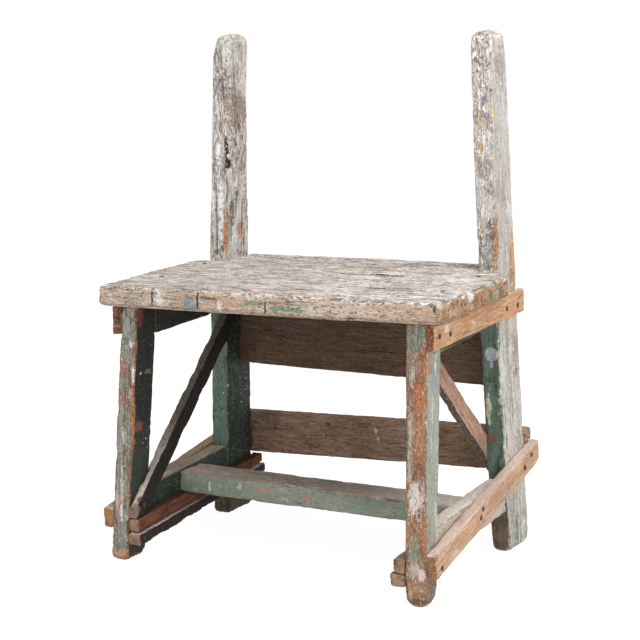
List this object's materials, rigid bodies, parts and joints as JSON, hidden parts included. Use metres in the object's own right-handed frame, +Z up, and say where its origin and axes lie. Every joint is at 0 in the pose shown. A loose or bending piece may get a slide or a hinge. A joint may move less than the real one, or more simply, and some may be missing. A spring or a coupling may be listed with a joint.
{
  "type": "workshop stool",
  "caption": "Rough wooden workshop stool: thick plank seat notched round two tall rear posts, short front legs, side rails, battens, diagonal braces and back boards.",
  "frame": {"origin": "on the floor, at the middle of the footprint's bounding box", "axes": "+Z up, -Y towards the front of the seat, +X towards the right end seen from the front"},
  "size_m": [0.5866, 0.4324, 0.8375],
  "materials": {
    "weathered_painted_wood": "bare silver-grey wood with flaking pale paint",
    "worn_green_paint": "old green paint worn through to brown wood",
    "raw_batten_wood": "unpainted light brown sawn wood",
    "old_brown_wood": "dark aged sawn wood",
    "strip_brown_wood": "reddish brown sawn wood",
    "rusty_iron": "rusted nail heads"
  },
  "bodies": {
    "root": {"brace_left": "old_brown_wood", "brace_nail_left_1": "rusty_iron", "brace_nail_left_2": "rusty_iron", "brace_nail_right_1": "rusty_iron", "brace_nail_right_2": "rusty_iron", "brace_right": "old_brown_wood", "cross_stretcher": "worn_green_paint", "front_leg_left": "worn_green_paint", "front_leg_right": "worn_green_paint", "lower_back_board": "old_brown_wood", "lower_batten_left": "raw_batten_wood", "lower_batten_nail_left_1": "rusty_iron", "lower_batten_nail_left_2": "rusty_iron", "lower_batten_nail_left_3": "rusty_iron", "lower_batten_nail_left_4": "rusty_iron", "lower_batten_nail_left_5": "rusty_iron", "lower_batten_nail_right_1": "rusty_iron", "lower_batten_nail_right_2": "rusty_iron", "lower_batten_nail_right_3": "rusty_iron", "lower_batten_nail_right_4": "rusty_iron", "lower_batten_nail_right_5": "rusty_iron", "lower_batten_right": "raw_batten_wood", "lower_board_nail_1": "rusty_iron", "lower_board_nail_2": "rusty_iron", "lower_board_nail_3": "rusty_iron", "lower_board_nail_4": "rusty_iron", "lower_rail_left": "worn_green_paint", "lower_rail_right": "worn_green_paint", "lower_strip_left": "strip_brown_wood", "lower_strip_right": "strip_brown_wood", "rear_post_left": "weathered_painted_wood", "rear_post_right": "weathered_painted_wood", "seat": "weathered_painted_wood", "seat_nail_1": "rusty_iron", "seat_nail_2": "rusty_iron", "seat_nail_3": "rusty_iron", "seat_nail_4": "rusty_iron", "strip_nail_left_1": "rusty_iron", "strip_nail_left_2": "rusty_iron", "strip_nail_left_3": "rusty_iron", "strip_nail_left_4": "rusty_iron", "strip_nail_right_1": "rusty_iron", "strip_nail_right_2": "rusty_iron", "strip_nail_right_3": "rusty_iron", "strip_nail_right_4": "rusty_iron", "upper_apron_left": "worn_green_paint", "upper_apron_right": "worn_green_paint", "upper_back_board": "old_brown_wood", "upper_batten_left": "raw_batten_wood", "upper_batten_nail_left_1": "rusty_iron", "upper_batten_nail_left_2": "rusty_iron", "upper_batten_nail_left_3": "rusty_iron", "upper_batten_nail_left_4": "rusty_iron", "upper_batten_nail_right_1": "rusty_iron", "upper_batten_nail_right_2": "rusty_iron", "upper_batten_nail_right_3": "rusty_iron", "upper_batten_nail_right_4": "rusty_iron", "upper_batten_right": "raw_batten_wood", "upper_strip_left": "strip_brown_wood", "upper_strip_right": "strip_brown_wood"}
  },
  "joints": []
}
